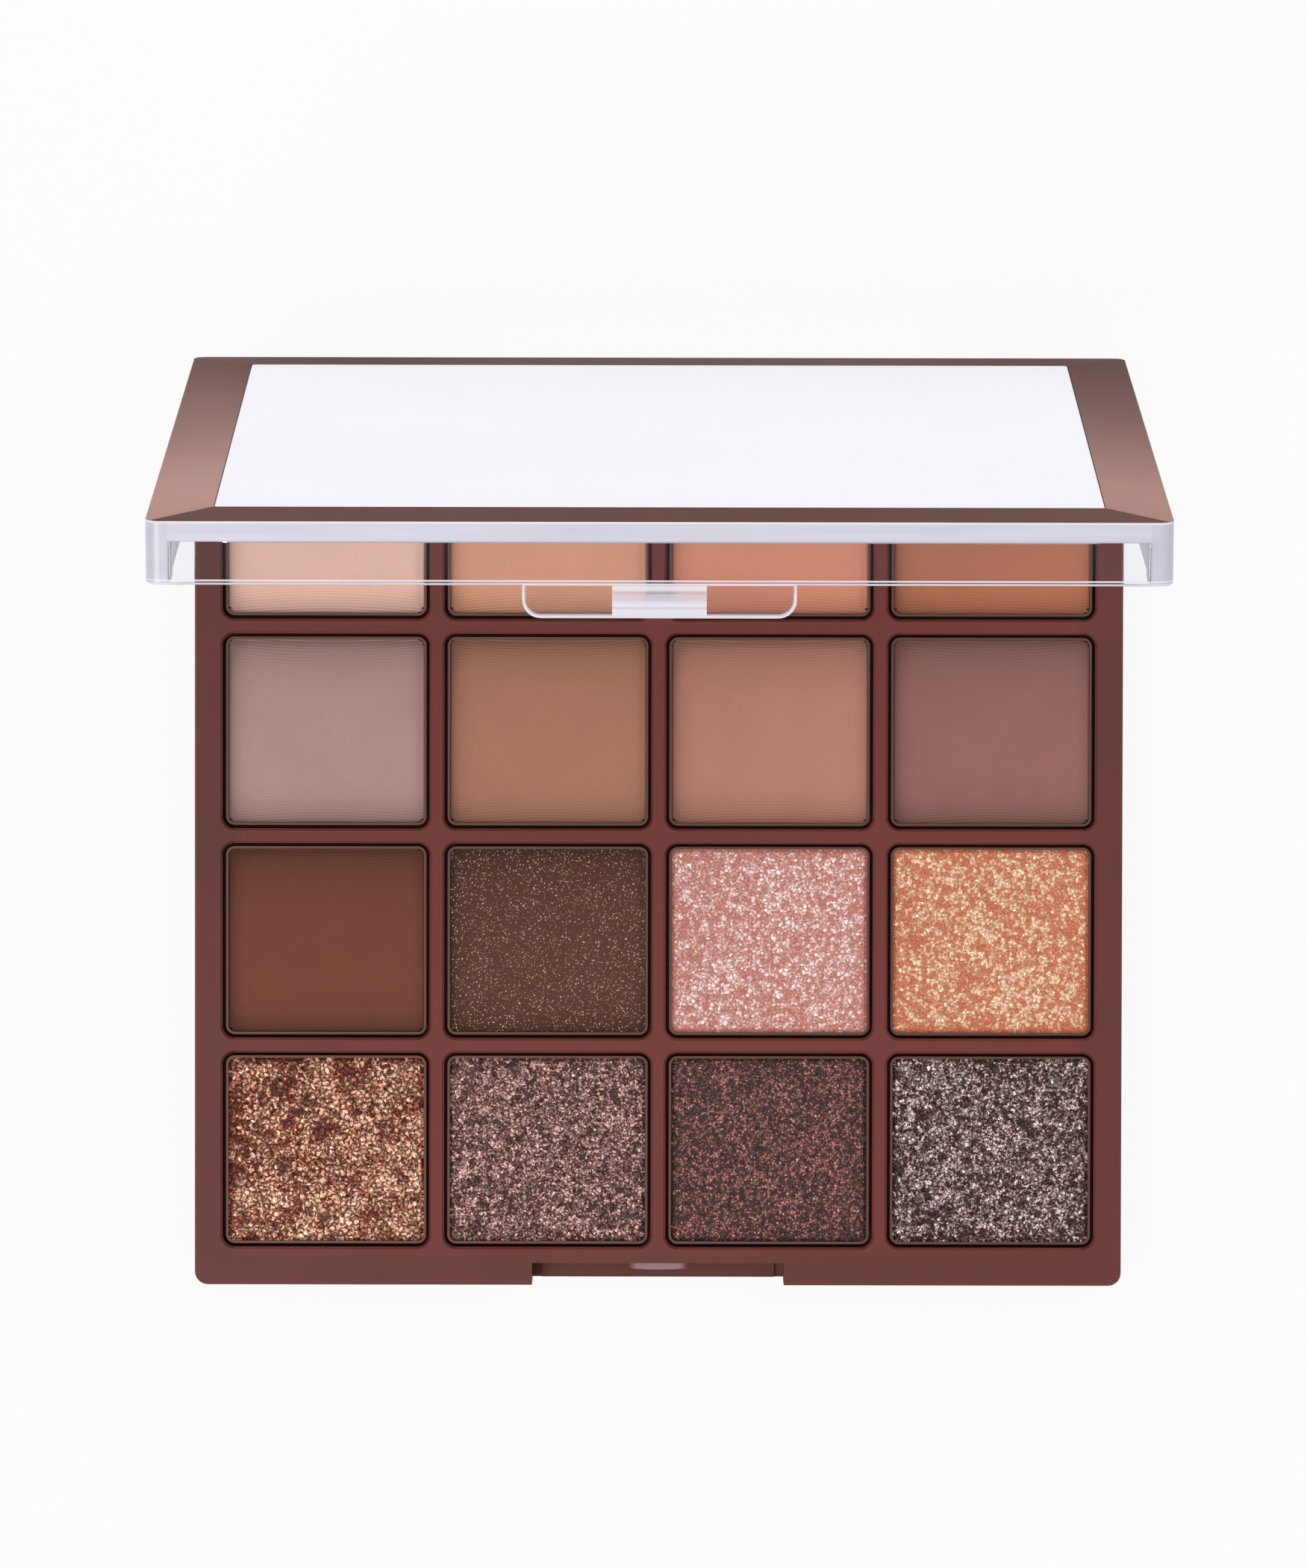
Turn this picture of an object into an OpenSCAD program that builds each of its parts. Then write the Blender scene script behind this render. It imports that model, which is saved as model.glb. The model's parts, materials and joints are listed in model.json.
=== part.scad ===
// Eyeshadow palette: a two-piece base that holds sixteen metal pans of pressed powder,
// and a hinged clear lid that carries a brown border, a plain panel and a mirror.
// Millimetres. The origin is the centre of the underside, +Z is up, the hinge is at +Y.
// The lid is drawn closed and then turned about the hinge pins.

/* [Pans] */
// Pans side by side
columns = 4; // [3:1:5]
// Pans front to back
rows = 4; // [3:1:4]
// Width of a pocket in the deck
pocket_w = 22.3; // [20:0.1:26]
// Depth of a pocket in the deck, front to back
pocket_d = 21.0; // [19:0.1:25]
// Radius of a pocket's corners
pocket_r = 1.3; // [1:0.1:3]
// Chamfer round the mouth of a pocket
pocket_chamfer = 0.25; // [0.1:0.05:0.35]
// Width of the rib between two pockets
rib = 1.6; // [1.2:0.1:3]
// Gap between a pan and its pocket, all round
pan_gap = 0.35; // [0.1:0.05:0.5]
// Height of a pan
pan_h = 2.2; // [1.6:0.1:3]
// Thickness of a pan's metal
pan_wall = 0.25; // [0.2:0.05:0.4]
// Depth of a pan's rim below the deck
pan_drop = 0.6; // [0.1:0.1:1]
// Depth of the powder's top below the rim
powder_drop = 0.18; // [0.05:0.01:0.5]
// Width of the powder's sloping edge
powder_slope = 0.6; // [0.2:0.1:1.5]
// Gap between the powder and its pan
powder_gap = 0.02; // [0.01:0.01:0.05]
// Thickness of the glue under a pan
glue_t = 0.15; // [0.05:0.05:0.3]
// Radius of a dot of glue
glue_r = 4; // [2:0.5:8]

/* [Base] */
// Height of the deck above the underside
base_h = 7; // [6.4:0.1:12]
// Deck beside the pockets, left and right
side_border = 3; // [2.8:0.1:6]
// Deck in front of the pockets
front_border = 4.1; // [3.9:0.1:8]
// Deck behind the pockets
rear_border = 4.7; // [4.5:0.1:8]
// Thickness of the deck
deck_t = 1.2; // [0.8:0.1:1.6]
// Radius of the upright corners
corner_r = 1.4; // [0.8:0.1:2]
// Chamfer along the deck's outer edge
deck_chamfer = 0.3; // [0.1:0.05:0.5]
// Thickness of the base's outer wall
case_wall = 1.6; // [1:0.1:1.6]
// Thickness of the base's floor
case_floor = 1.2; // [0.8:0.1:1.6]
// Chamfer along the underside
foot_chamfer = 0.6; // [0.2:0.1:0.8]
// Thickness of the floor under a pocket
pocket_floor = 1; // [0.6:0.1:1.4]
// Thickness of the wall round the block of pockets
pocket_wall = 1.1; // [0.8:0.1:1.2]
// Radius of a post that carries the tray
post_r = 1.5; // [1:0.1:3]

/* [Latch] */
// Width of the lid's tab
tab_w = 26.7; // [20:0.1:40]
// Length of the tab below the lid's rim
tab_h = 3.2; // [2.8:0.1:3.6]
// Thickness of the tab
tab_t = 1.1; // [0.8:0.1:1.3]
// Radius of the tab's lower corners
tab_r = 1.8; // [0.5:0.1:2.4]
// Depth of the notch that the tab drops into
notch_depth = 2.4; // [2.2:0.1:2.6]
// Gap between the tab and each side of the notch
notch_gap = 0.25; // [0.15:0.05:0.6]
// Thickness of the cheek at each side of the notch
notch_cheek = 1; // [0.6:0.1:2]
// Gap between the tab and the ledge under it
ledge_gap = 0.6; // [0.3:0.1:1]
// Setback of the front face under the notch
ledge_setback = 0.6; // [0.2:0.1:0.8]
// Thickness of the ledge
ledge_t = 1; // [0.6:0.1:1.4]
// Width of the groove at each end of the ledge
groove_w = 1; // [0.5:0.1:2]
// Depth of the groove at each end of the ledge
groove_depth = 0.4; // [0.2:0.1:0.5]
// Width of the catch on the base
catch_w = 6.3; // [4:0.1:8]
// Height of the catch
catch_h = 1.4; // [1:0.1:1.5]
// Reach of the catch out of the notch's rear wall
catch_reach = 0.8; // [0.4:0.1:0.9]
// Depth of the catch's top below the deck
catch_drop = 0.6; // [0.3:0.1:0.7]
// Rounding of the catch's front edge, at its middle
catch_bow = 0.15; // [0.05:0.05:0.3]
// Width of the hook on the tab
hook_w = 8.7; // [5:0.1:14]
// Height of the hook's bar
hook_h = 1; // [0.6:0.1:1.1]
// Thickness of the pad above the hook's bar
hook_pad = 0.12; // [0.05:0.01:0.2]
// Gap between the hook's bar and the pad above it
hook_groove = 0.35; // [0.2:0.05:0.6]
// Gap between the hook and the catch as they pass
snap_gap = 0.05; // [0.03:0.01:0.1]

/* [Hinge] */
// Angle at which the lid stands open
lid_open = 80; // [0:5:110]
// Widest angle of the lid
lid_max = 115; // [110:1:120]
// Distance of the pins from the rear face
hinge_inset = 2.3; // [2.2:0.05:2.4]
// Height of the pins above the deck
hinge_rise = 2; // [1.9:0.05:2.1]
// Diameter of a pin
pin_d = 1.5; // [1:0.1:1.6]
// Length of a pin
pin_length = 23.5; // [22:0.1:24]
// Depth of a pin's outer end in the lid's side
pin_setback = 0.5; // [0.2:0.1:1]
// Gap between a pin and its bore in the lid
pin_play = 0.05; // [0.03:0.01:0.08]
// Gap between a pin and its bore in the base
pin_fit = 0.01; // [0.005:0.005:0.02]
// Radius of the base's knuckles
knuckle_r = 2; // [1.6:0.05:2.1]
// Length of the base's knuckles
knuckle_length = 12; // [8:0.5:14]
// Distance of a knuckle from the side of the base
knuckle_offset = 6; // [4:0.5:7]
// Gap at each end of a knuckle
knuckle_gap = 0.2; // [0.1:0.05:0.4]
// Depth of the knuckle's foot behind the pins
knuckle_foot = 0.6; // [0.4:0.1:0.6]
// Length of the lid's inner barrels
barrel_length = 7; // [6:0.5:9]
// Gap between the open lid and the slope behind the deck
relief_gap = 0.2; // [0.1:0.05:0.4]

/* [Lid] */
// Gap between the deck and the lid's rim
lid_gap = 0.1; // [0.05:0.05:0.2]
// Height of the clear shell
lid_h = 6.1; // [5.8:0.1:8]
// Thickness of the shell's plate
plate_t = 1.8; // [1.4:0.1:1.8]
// Chamfer along the outside of the shell's rim
rim_chamfer = 0.2; // [0.1:0.05:0.4]
// Thickness of the shell's front and side walls
lid_wall = 2.2; // [1.8:0.1:2.4]
// Thickness of the shell's rear wall
rear_wall = 1.5; // [1.2:0.1:1.6]
// Width of the brown border
frame_w = 6.4; // [4:0.1:10]
// Thickness of the border at its outer edge
frame_edge = 0.2; // [0.15:0.05:0.4]
// Thickness of the border at the panel
frame_t = 0.5; // [0.45:0.05:1]
// Radius of the window's corners
window_r = 0.4; // [0.2:0.1:2]
// Thickness of the panel
panel_t = 0.45; // [0.2:0.05:0.8]
// Gap between the panel and the border
panel_gap = 0.1; // [0.05:0.05:0.3]
// Distance of the mirror's edge from the outside of the lid
mirror_border = 6.5; // [5.5:0.1:12]
// Radius of the mirror's corners
mirror_r = 1.2; // [0.5:0.1:3]
// Thickness of the mirror
mirror_t = 1; // [0.7:0.1:1.2]
// Thickness of the adhesive sheet behind the mirror
tape_t = 0.15; // [0.1:0.05:0.3]
// Width of bare glass round the adhesive sheet
tape_inset = 2; // [1:0.5:6]

/* [Hidden] */
$fn = 48;
hull_fn = 32;
// How far a cut runs past the surface that it opens
over = 1;
// How far two shapes of one piece run into each other
weld = 0.2;
// Radius of the upright corners inside the base and the lid
inner_r = 0.4;
// Share of the powder's height below its sloping edge
powder_side = 0.7;
// Shares of the catch's height where its front face starts and ends
catch_low = 0.15;
catch_high = 0.55;
// Share of the hook's height that its lead-in takes
hook_lead = 0.45;

case_w = columns * pocket_w + (columns - 1) * rib + 2 * side_border;
case_d = rows * pocket_d + (rows - 1) * rib + front_border + rear_border;
front_y = -case_d / 2;
rear_y = case_d / 2;

// Heights in the base
deck_z = base_h;
plate_z = deck_z - deck_t;
rim_drop_z = deck_z - pan_drop;
pan_z = rim_drop_z - pan_h;
glue_z = pan_z - glue_t;
block_z = glue_z - pocket_floor;

// Pans and powders
pan_w = pocket_w - 2 * pan_gap;
pan_d = pocket_d - 2 * pan_gap;
pan_r = pocket_r - pan_gap;
powder_w = pan_w - 2 * (pan_wall + powder_gap);
powder_d = pan_d - 2 * (pan_wall + powder_gap);
powder_r = pan_r - pan_wall - powder_gap;
powder_z = pan_z + pan_wall;
powder_h = pan_h - pan_wall - powder_drop;

// Hinge
hinge_y = rear_y - hinge_inset;
hinge_z = deck_z + hinge_rise;
knuckle_end = case_w / 2 - knuckle_offset;
knuckle_start = knuckle_end - knuckle_length;
pin_end = case_w / 2 - pin_setback;

// Lid, closed
rim_z = deck_z + lid_gap;
lid_z = rim_z + lid_h;
plate_under_z = lid_z - plate_t;
window_w = case_w - 2 * frame_w;
window_d = case_d - 2 * frame_w;

// Latch
notch_w = tab_w + 2 * notch_gap;
notch_y = front_y + notch_depth;
tab_z = rim_z - tab_h;
ledge_z = tab_z - ledge_gap;
catch_y = notch_y - catch_reach;
// The catch's front edge is an arc over the catch's width
catch_arc_r = (pow(catch_w / 2, 2) + pow(catch_bow, 2)) / (2 * catch_bow);
// Gaps between the tray and the base's shelf, upright and along Y
tray_seat = 0.05;
tray_gap = 0.1;

// Shades, rear row first, from left to right
shades = [
    ["peachpuff", "tan", "lightsalmon", "sienna"],
    ["rosybrown", "peru", "indianred", "rosybrown"],
    ["brown", "saddlebrown", "palevioletred", "chocolate"],
    ["saddlebrown", "rosybrown", "maroon", "dimgray"]
];
case_colour = "saddlebrown";
metal_colour = "silver";

// ---- Shapes that repeat ----

// An upright prism with round corners, centred on Z
module prism(w, d, h, r) {
    linear_extrude(h) {
        square([w - 2 * r, d], center = true);
        square([w, d - 2 * r], center = true);
        for (x = [-1, 1], y = [-1, 1])
            translate([x * (w / 2 - r), y * (d / 2 - r)]) circle(r);
    }
}

// A slab of height h whose sides slope out at 45 degrees, to w by d at its top
module flare(w, d, h, r) {
    for (x = [-1, 1], y = [-1, 1])
        translate([x * (w / 2 - r), y * (d / 2 - r), 0]) cylinder(r1 = r - h, r2 = r, h = h);
    for (side = [[w, d, 0], [d, w, 90]])
        rotate([0, 0, side[2]]) translate([r - side[0] / 2, 0, 0]) rotate([90, 0, 90])
            linear_extrude(side[0] - 2 * r) polygon([
                [h - side[1] / 2, 0],
                [side[1] / 2 - h, 0],
                [side[1] / 2, h],
                [-side[1] / 2, h]
            ]);
}

// A prism with a chamfer of that size along its lower edge
module chamfered_prism(w, d, h, r, chamfer) {
    flare(w, d, chamfer, r);
    translate([0, 0, chamfer]) prism(w, d, h - chamfer, r);
}

// A cylinder along X from x1 to x2, on the hinge's axis
module on_axis(x1, x2, r) {
    translate([x1, hinge_y, hinge_z]) rotate([0, 90, 0]) cylinder(r = r, h = x2 - x1);
}

// A box given by two opposite corners
module block(low, high) {
    translate(low) cube(high - low);
}

// The centre of the pocket in row r, counted from the rear, and column c
module at_pocket(r, c) {
    translate([
        -case_w / 2 + side_border + pocket_w / 2 + (c - 1) * (pocket_w + rib),
        rear_y - rear_border - pocket_d / 2 - (r - 1) * (pocket_d + rib),
        0
    ]) children();
}

module every_pocket() {
    for (r = [1:rows], c = [1:columns]) at_pocket(r, c) children();
}

// A part and its mirror image on the other side
module both_sides() {
    children();
    mirror([1, 0, 0]) children();
}

// Turns what is drawn closed to the angle at which the lid stands
module lid_pose() {
    translate([0, hinge_y, hinge_z]) rotate([-lid_open, 0, 0])
        translate([0, -hinge_y, -hinge_z]) children();
}

// The room that the lid's rear wall needs at its widest angle
module swing_relief() {
    translate([0, hinge_y, hinge_z]) rotate([90 - lid_max, 0, 0])
        block([-case_w, -case_d / 4, -hinge_inset - relief_gap], [case_w, case_d, lid_h]);
}

// ---- Base ----

// Posts under the crossings of the ribs
module posts() {
    for (r = [1:rows - 1], c = [1:columns - 1])
        at_pocket(r, c) translate([(pocket_w + rib) / 2, -(pocket_d + rib) / 2, case_floor - over])
            cylinder(r = post_r, h = block_z - case_floor + over);
}

module base_case() {
    color(case_colour) difference() {
        union() {
            difference() {
                chamfered_prism(case_w, case_d, plate_z, corner_r, foot_chamfer);
                translate([0, 0, case_floor])
                    prism(case_w - 2 * case_wall, case_d - 2 * case_wall, plate_z, inner_r);
            }
            posts();
            // Shelf that closes the notch from below
            block(
                [-notch_w / 2 - notch_cheek, front_y + case_wall - weld, ledge_z - ledge_t],
                [notch_w / 2 + notch_cheek, front_y + front_border - pocket_wall - tray_gap, ledge_z]
            );
        }
        swing_relief();
        // Notch for the tab, down to the ledge, and the setback of the face under it
        block([-notch_w / 2, front_y - over, ledge_z], [notch_w / 2, notch_y, deck_z]);
        block([-notch_w / 2, front_y - over, -over], [notch_w / 2, front_y + ledge_setback, deck_z]);
        both_sides()
            block([notch_w / 2 - groove_w, front_y - over, ledge_z - groove_depth],
                  [notch_w / 2, notch_y, deck_z]);
    }
}

// The wall behind the notch and the cheeks at its sides
module notch_surround() {
    block(
        [-notch_w / 2 - notch_cheek, front_y + case_wall + tray_gap, ledge_z + tray_seat],
        [notch_w / 2 + notch_cheek, front_y + front_border, deck_z - deck_t / 2]
    );
}

module catch() {
    translate([0, 0, deck_z - catch_drop - catch_h]) intersection() {
        // Side view: sloping top, flat underside
        translate([-catch_w / 2, 0, 0]) rotate([90, 0, 90]) linear_extrude(catch_w)
            polygon([
                [notch_y + weld, 0],
                [catch_y, catch_h * catch_low],
                [catch_y, catch_h * catch_high],
                [notch_y + weld, catch_h]
            ]);
        // Plan view: a bowed front edge
        translate([0, catch_y + catch_arc_r, 0]) cylinder(r = catch_arc_r, h = catch_h, $fn = 96);
    }
}

module base_knuckle() {
    difference() {
        union() {
            on_axis(knuckle_start, knuckle_end, knuckle_r);
            block([knuckle_start, hinge_y - knuckle_r, block_z],
                  [knuckle_end, hinge_y + knuckle_foot, hinge_z]);
        }
        on_axis(knuckle_start - over, knuckle_end + over, pin_d / 2 + pin_fit);
    }
}

// What the chamfer takes from a pocket's mouth: it starts inside the pocket and runs past the deck
module pocket_mouth() {
    widening = pocket_chamfer + over;
    translate([0, 0, deck_z - pocket_chamfer - weld])
        flare(
            pocket_w + 2 * widening,
            pocket_d + 2 * widening,
            widening + weld,
            pocket_r + widening
        );
}

module pan_tray() {
    block_w = case_w - 2 * (side_border - pocket_wall);
    block_front = front_y + front_border - pocket_wall;
    block_rear = rear_y - rear_border + pocket_wall;
    color(case_colour) {
        difference() {
            union() {
                translate([0, 0, deck_z]) mirror([0, 0, 1])
                    chamfered_prism(case_w, case_d, deck_t, corner_r, deck_chamfer);
                block([-block_w / 2, block_front, block_z], [block_w / 2, block_rear, deck_z - deck_t / 2]);
                notch_surround();
            }
            every_pocket() {
                translate([0, 0, glue_z]) prism(pocket_w, pocket_d, deck_z, pocket_r);
                pocket_mouth();
            }
            swing_relief();
            block([-notch_w / 2, front_y - over, ledge_z], [notch_w / 2, notch_y, deck_z + over]);
        }
        catch();
        both_sides() base_knuckle();
    }
}

// ---- Pans ----

module pan() {
    color(metal_colour) translate([0, 0, pan_z]) difference() {
        prism(pan_w, pan_d, pan_h, pan_r);
        translate([0, 0, pan_wall])
            prism(pan_w - 2 * pan_wall, pan_d - 2 * pan_wall, pan_h, pan_r - pan_wall);
    }
}

module powder(r, c) {
    edge_h = powder_h * powder_side;
    color(shades[(r - 1) % 4][(c - 1) % 4]) translate([0, 0, powder_z]) hull() {
        prism(powder_w, powder_d, edge_h, powder_r, $fn = hull_fn);
        prism(powder_w - 2 * powder_slope, powder_d - 2 * powder_slope, powder_h, powder_r, $fn = hull_fn);
    }
}

module pan_glue() {
    color("ivory") every_pocket() translate([0, 0, glue_z]) cylinder(r = glue_r, h = glue_t);
}

module hinge_pin() {
    color(metal_colour) on_axis(pin_end - pin_length, pin_end, pin_d / 2);
}

// ---- Lid ----

// The outside of the shell, closed, without its tab
module lid_outside() {
    translate([0, 0, rim_z]) chamfered_prism(case_w, case_d, lid_h, corner_r, rim_chamfer);
}

// Barrels that turn on the pins, on one side
module lid_barrels() {
    on_axis(knuckle_end + knuckle_gap, case_w / 2, hinge_inset);
    on_axis(knuckle_start - knuckle_gap - barrel_length, knuckle_start - knuckle_gap, hinge_inset);
}

// What is cut off below the hinge so that the rear edge is round about the pins
module rear_rounding() {
    difference() {
        block([-case_w, hinge_y, rim_z - over], [case_w, rear_y + over, hinge_z]);
        on_axis(-case_w - over, case_w + over, hinge_inset);
    }
}

module tab() {
    translate([0, front_y + tab_t, 0]) rotate([90, 0, 0]) linear_extrude(tab_t) {
        translate([-tab_w / 2, tab_z + tab_r]) square([tab_w, tab_h - tab_r + plate_t / 2]);
        translate([-tab_w / 2 + tab_r, tab_z]) square([tab_w - 2 * tab_r, tab_r]);
        for (x = [-1, 1]) translate([x * (tab_w / 2 - tab_r), tab_z + tab_r]) circle(tab_r);
    }
}

// The hook's bar and the pad above it, on the tab's inner face
module hook() {
    reach_y = catch_y - snap_gap;
    tab_y = front_y + tab_t;
    pad_z = tab_z + hook_h + hook_groove;
    translate([-hook_w / 2, 0, tab_z]) rotate([90, 0, 90]) linear_extrude(hook_w)
        polygon([
            [tab_y - weld, 0],
            [tab_y, 0],
            [reach_y, hook_h * hook_lead],
            [reach_y, hook_h],
            [tab_y - weld, hook_h]
        ]);
    block([-hook_w / 2, tab_y - weld, pad_z], [hook_w / 2, tab_y + hook_pad, rim_z + weld]);
}

module lid_shell() {
    color([0.86, 0.86, 0.93, 0.45]) lid_pose() difference() {
        union() {
            difference() {
                lid_outside();
                // The hollow under the plate
                translate([0, (lid_wall - rear_wall) / 2, rim_z - over])
                    prism(
                        case_w - 2 * lid_wall,
                        case_d - lid_wall - rear_wall,
                        plate_under_z - rim_z + over,
                        inner_r
                    );
            }
            intersection() {
                lid_outside();
                both_sides() lid_barrels();
            }
            tab();
            hook();
        }
        rear_rounding();
        both_sides() {
            // Room for the base's knuckle
            block(
                [knuckle_start - knuckle_gap, hinge_y - hinge_inset - over, rim_z - over],
                [knuckle_end + knuckle_gap, rear_y + over, plate_under_z]
            );
            on_axis(pin_end - pin_length - knuckle_gap, case_w / 2 + over, pin_d / 2 + pin_play);
        }
    }
}

// The border's top slopes up from the outer edge to the window, with mitred corners
module lid_frame() {
    slope = atan((frame_t - frame_edge) / frame_w);
    color(case_colour) lid_pose() translate([0, 0, lid_z]) difference() {
        prism(case_w, case_d, frame_t, corner_r);
        translate([0, 0, -over]) prism(window_w, window_d, frame_t + 2 * over, window_r);
        for (side = [[case_w, case_d, 0], [case_d, case_w, 90]])
            for (turn = [0, 180])
                rotate([0, 0, side[2] + turn]) translate([0, -side[1] / 2, frame_edge])
                    rotate([slope, 0, 0])
                        block([-side[0], -over, 0], [side[0], side[1] / 2, frame_t * 4]);
    }
}

module lid_panel() {
    color("ghostwhite") lid_pose() translate([0, 0, lid_z])
        prism(window_w - 2 * panel_gap, window_d - 2 * panel_gap, panel_t, window_r);
}

module mirror_tape() {
    inset = mirror_border + tape_inset;
    color("whitesmoke") lid_pose() translate([0, 0, plate_under_z - tape_t])
        prism(case_w - 2 * inset, case_d - 2 * inset, tape_t, mirror_r);
}

module mirror_glass() {
    color("lightsteelblue") lid_pose() translate([0, 0, plate_under_z - tape_t - mirror_t])
        prism(case_w - 2 * mirror_border, case_d - 2 * mirror_border, mirror_t, mirror_r);
}

// ---- Nodes ----

base_case();
pan_tray();
pan_glue();
hinge_pin();  // hinge_pin_right
mirror([1, 0, 0]) hinge_pin();  // hinge_pin_left
for (r = [1:rows], c = [1:columns]) {
    at_pocket(r, c) pan();
    at_pocket(r, c) powder(r, c);
}
lid_shell();
lid_frame();
lid_panel();
mirror_tape();
mirror_glass();  // mirror
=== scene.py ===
import json
import math

import bpy
import numpy as np
from mathutils import Matrix, Vector


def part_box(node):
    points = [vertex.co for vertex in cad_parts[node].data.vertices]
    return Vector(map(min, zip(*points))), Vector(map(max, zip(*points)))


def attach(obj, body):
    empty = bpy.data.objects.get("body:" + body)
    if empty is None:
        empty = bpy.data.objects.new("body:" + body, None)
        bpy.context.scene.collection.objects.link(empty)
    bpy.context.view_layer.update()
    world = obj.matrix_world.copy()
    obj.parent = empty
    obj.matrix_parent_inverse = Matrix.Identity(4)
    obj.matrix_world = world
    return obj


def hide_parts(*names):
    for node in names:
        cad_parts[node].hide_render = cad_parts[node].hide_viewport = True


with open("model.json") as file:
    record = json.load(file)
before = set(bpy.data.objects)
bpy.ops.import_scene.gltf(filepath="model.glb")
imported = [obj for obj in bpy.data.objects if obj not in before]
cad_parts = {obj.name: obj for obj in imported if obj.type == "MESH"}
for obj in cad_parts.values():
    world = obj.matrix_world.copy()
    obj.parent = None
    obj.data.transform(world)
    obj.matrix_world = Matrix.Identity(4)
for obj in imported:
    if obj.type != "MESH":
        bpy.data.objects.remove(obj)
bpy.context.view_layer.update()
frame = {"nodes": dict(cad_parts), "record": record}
NODES = frame["nodes"]
MM = 0.001


# ---------------------------------------------------------------- camera

# The photograph is 1751 x 2100 pixels, taken with a long lens from almost straight above
PHOTO_H = 2100
FOCAL_PX = 12171.4
SENSOR_MM = 36.0
CAMERA_AT = Vector((-0.41, 40.96, 985.48)) * MM
PITCH, YAW, ROLL = (math.radians(angle) for angle in (-2.084, 0.009, 0.107))


def make_camera():
    data = bpy.data.cameras.new("camera")
    data.sensor_fit = "VERTICAL"
    data.sensor_height = SENSOR_MM
    data.lens = FOCAL_PX / PHOTO_H * SENSOR_MM
    data.clip_start, data.clip_end = 0.05, 20.0
    camera = bpy.data.objects.new("camera", data)
    turn = Matrix.Rotation(PITCH, 4, "X") @ Matrix.Rotation(YAW, 4, "Y") @ Matrix.Rotation(ROLL, 4, "Z")
    camera.matrix_world = Matrix.Translation(CAMERA_AT) @ turn
    bpy.context.scene.collection.objects.link(camera)
    bpy.context.scene.camera = camera


# ---------------------------------------------------------------- the lid, turned back to closed

HINGE = next(joint for joint in frame["record"]["behaviour"]["joints"] if joint["name"] == "lid_hinge")
HINGE_AT = Vector(HINGE["pos_m"])
# The lid stands open as packed, and its lower limit is closed
TO_CLOSED = Matrix.Rotation(math.radians(-HINGE["range_deg"][0]), 4, "X")
TO_CLOSED = Matrix.Translation(HINGE_AT) @ TO_CLOSED @ Matrix.Translation(-HINGE_AT)


def closed_box(name):
    """The corners of a lid node's box as it lies when the lid is closed, in millimetres."""
    points = np.array([TO_CLOSED @ vertex.co for vertex in NODES[name].data.vertices]) / MM
    return points.min(0), points.max(0)


# ---------------------------------------------------------------- node helpers

def rgb(red, green, blue):
    """A display colour, 0 to 255 a channel, as the linear colour that Blender takes."""
    def linear(value):
        value /= 255
        return value / 12.92 if value <= 0.04045 else ((value + 0.055) / 1.055) ** 2.4
    return (linear(red), linear(green), linear(blue), 1.0)


def tinted(colour, share):
    """A display colour made lighter or darker, as a linear colour."""
    return rgb(*(channel * share for channel in colour))


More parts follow.
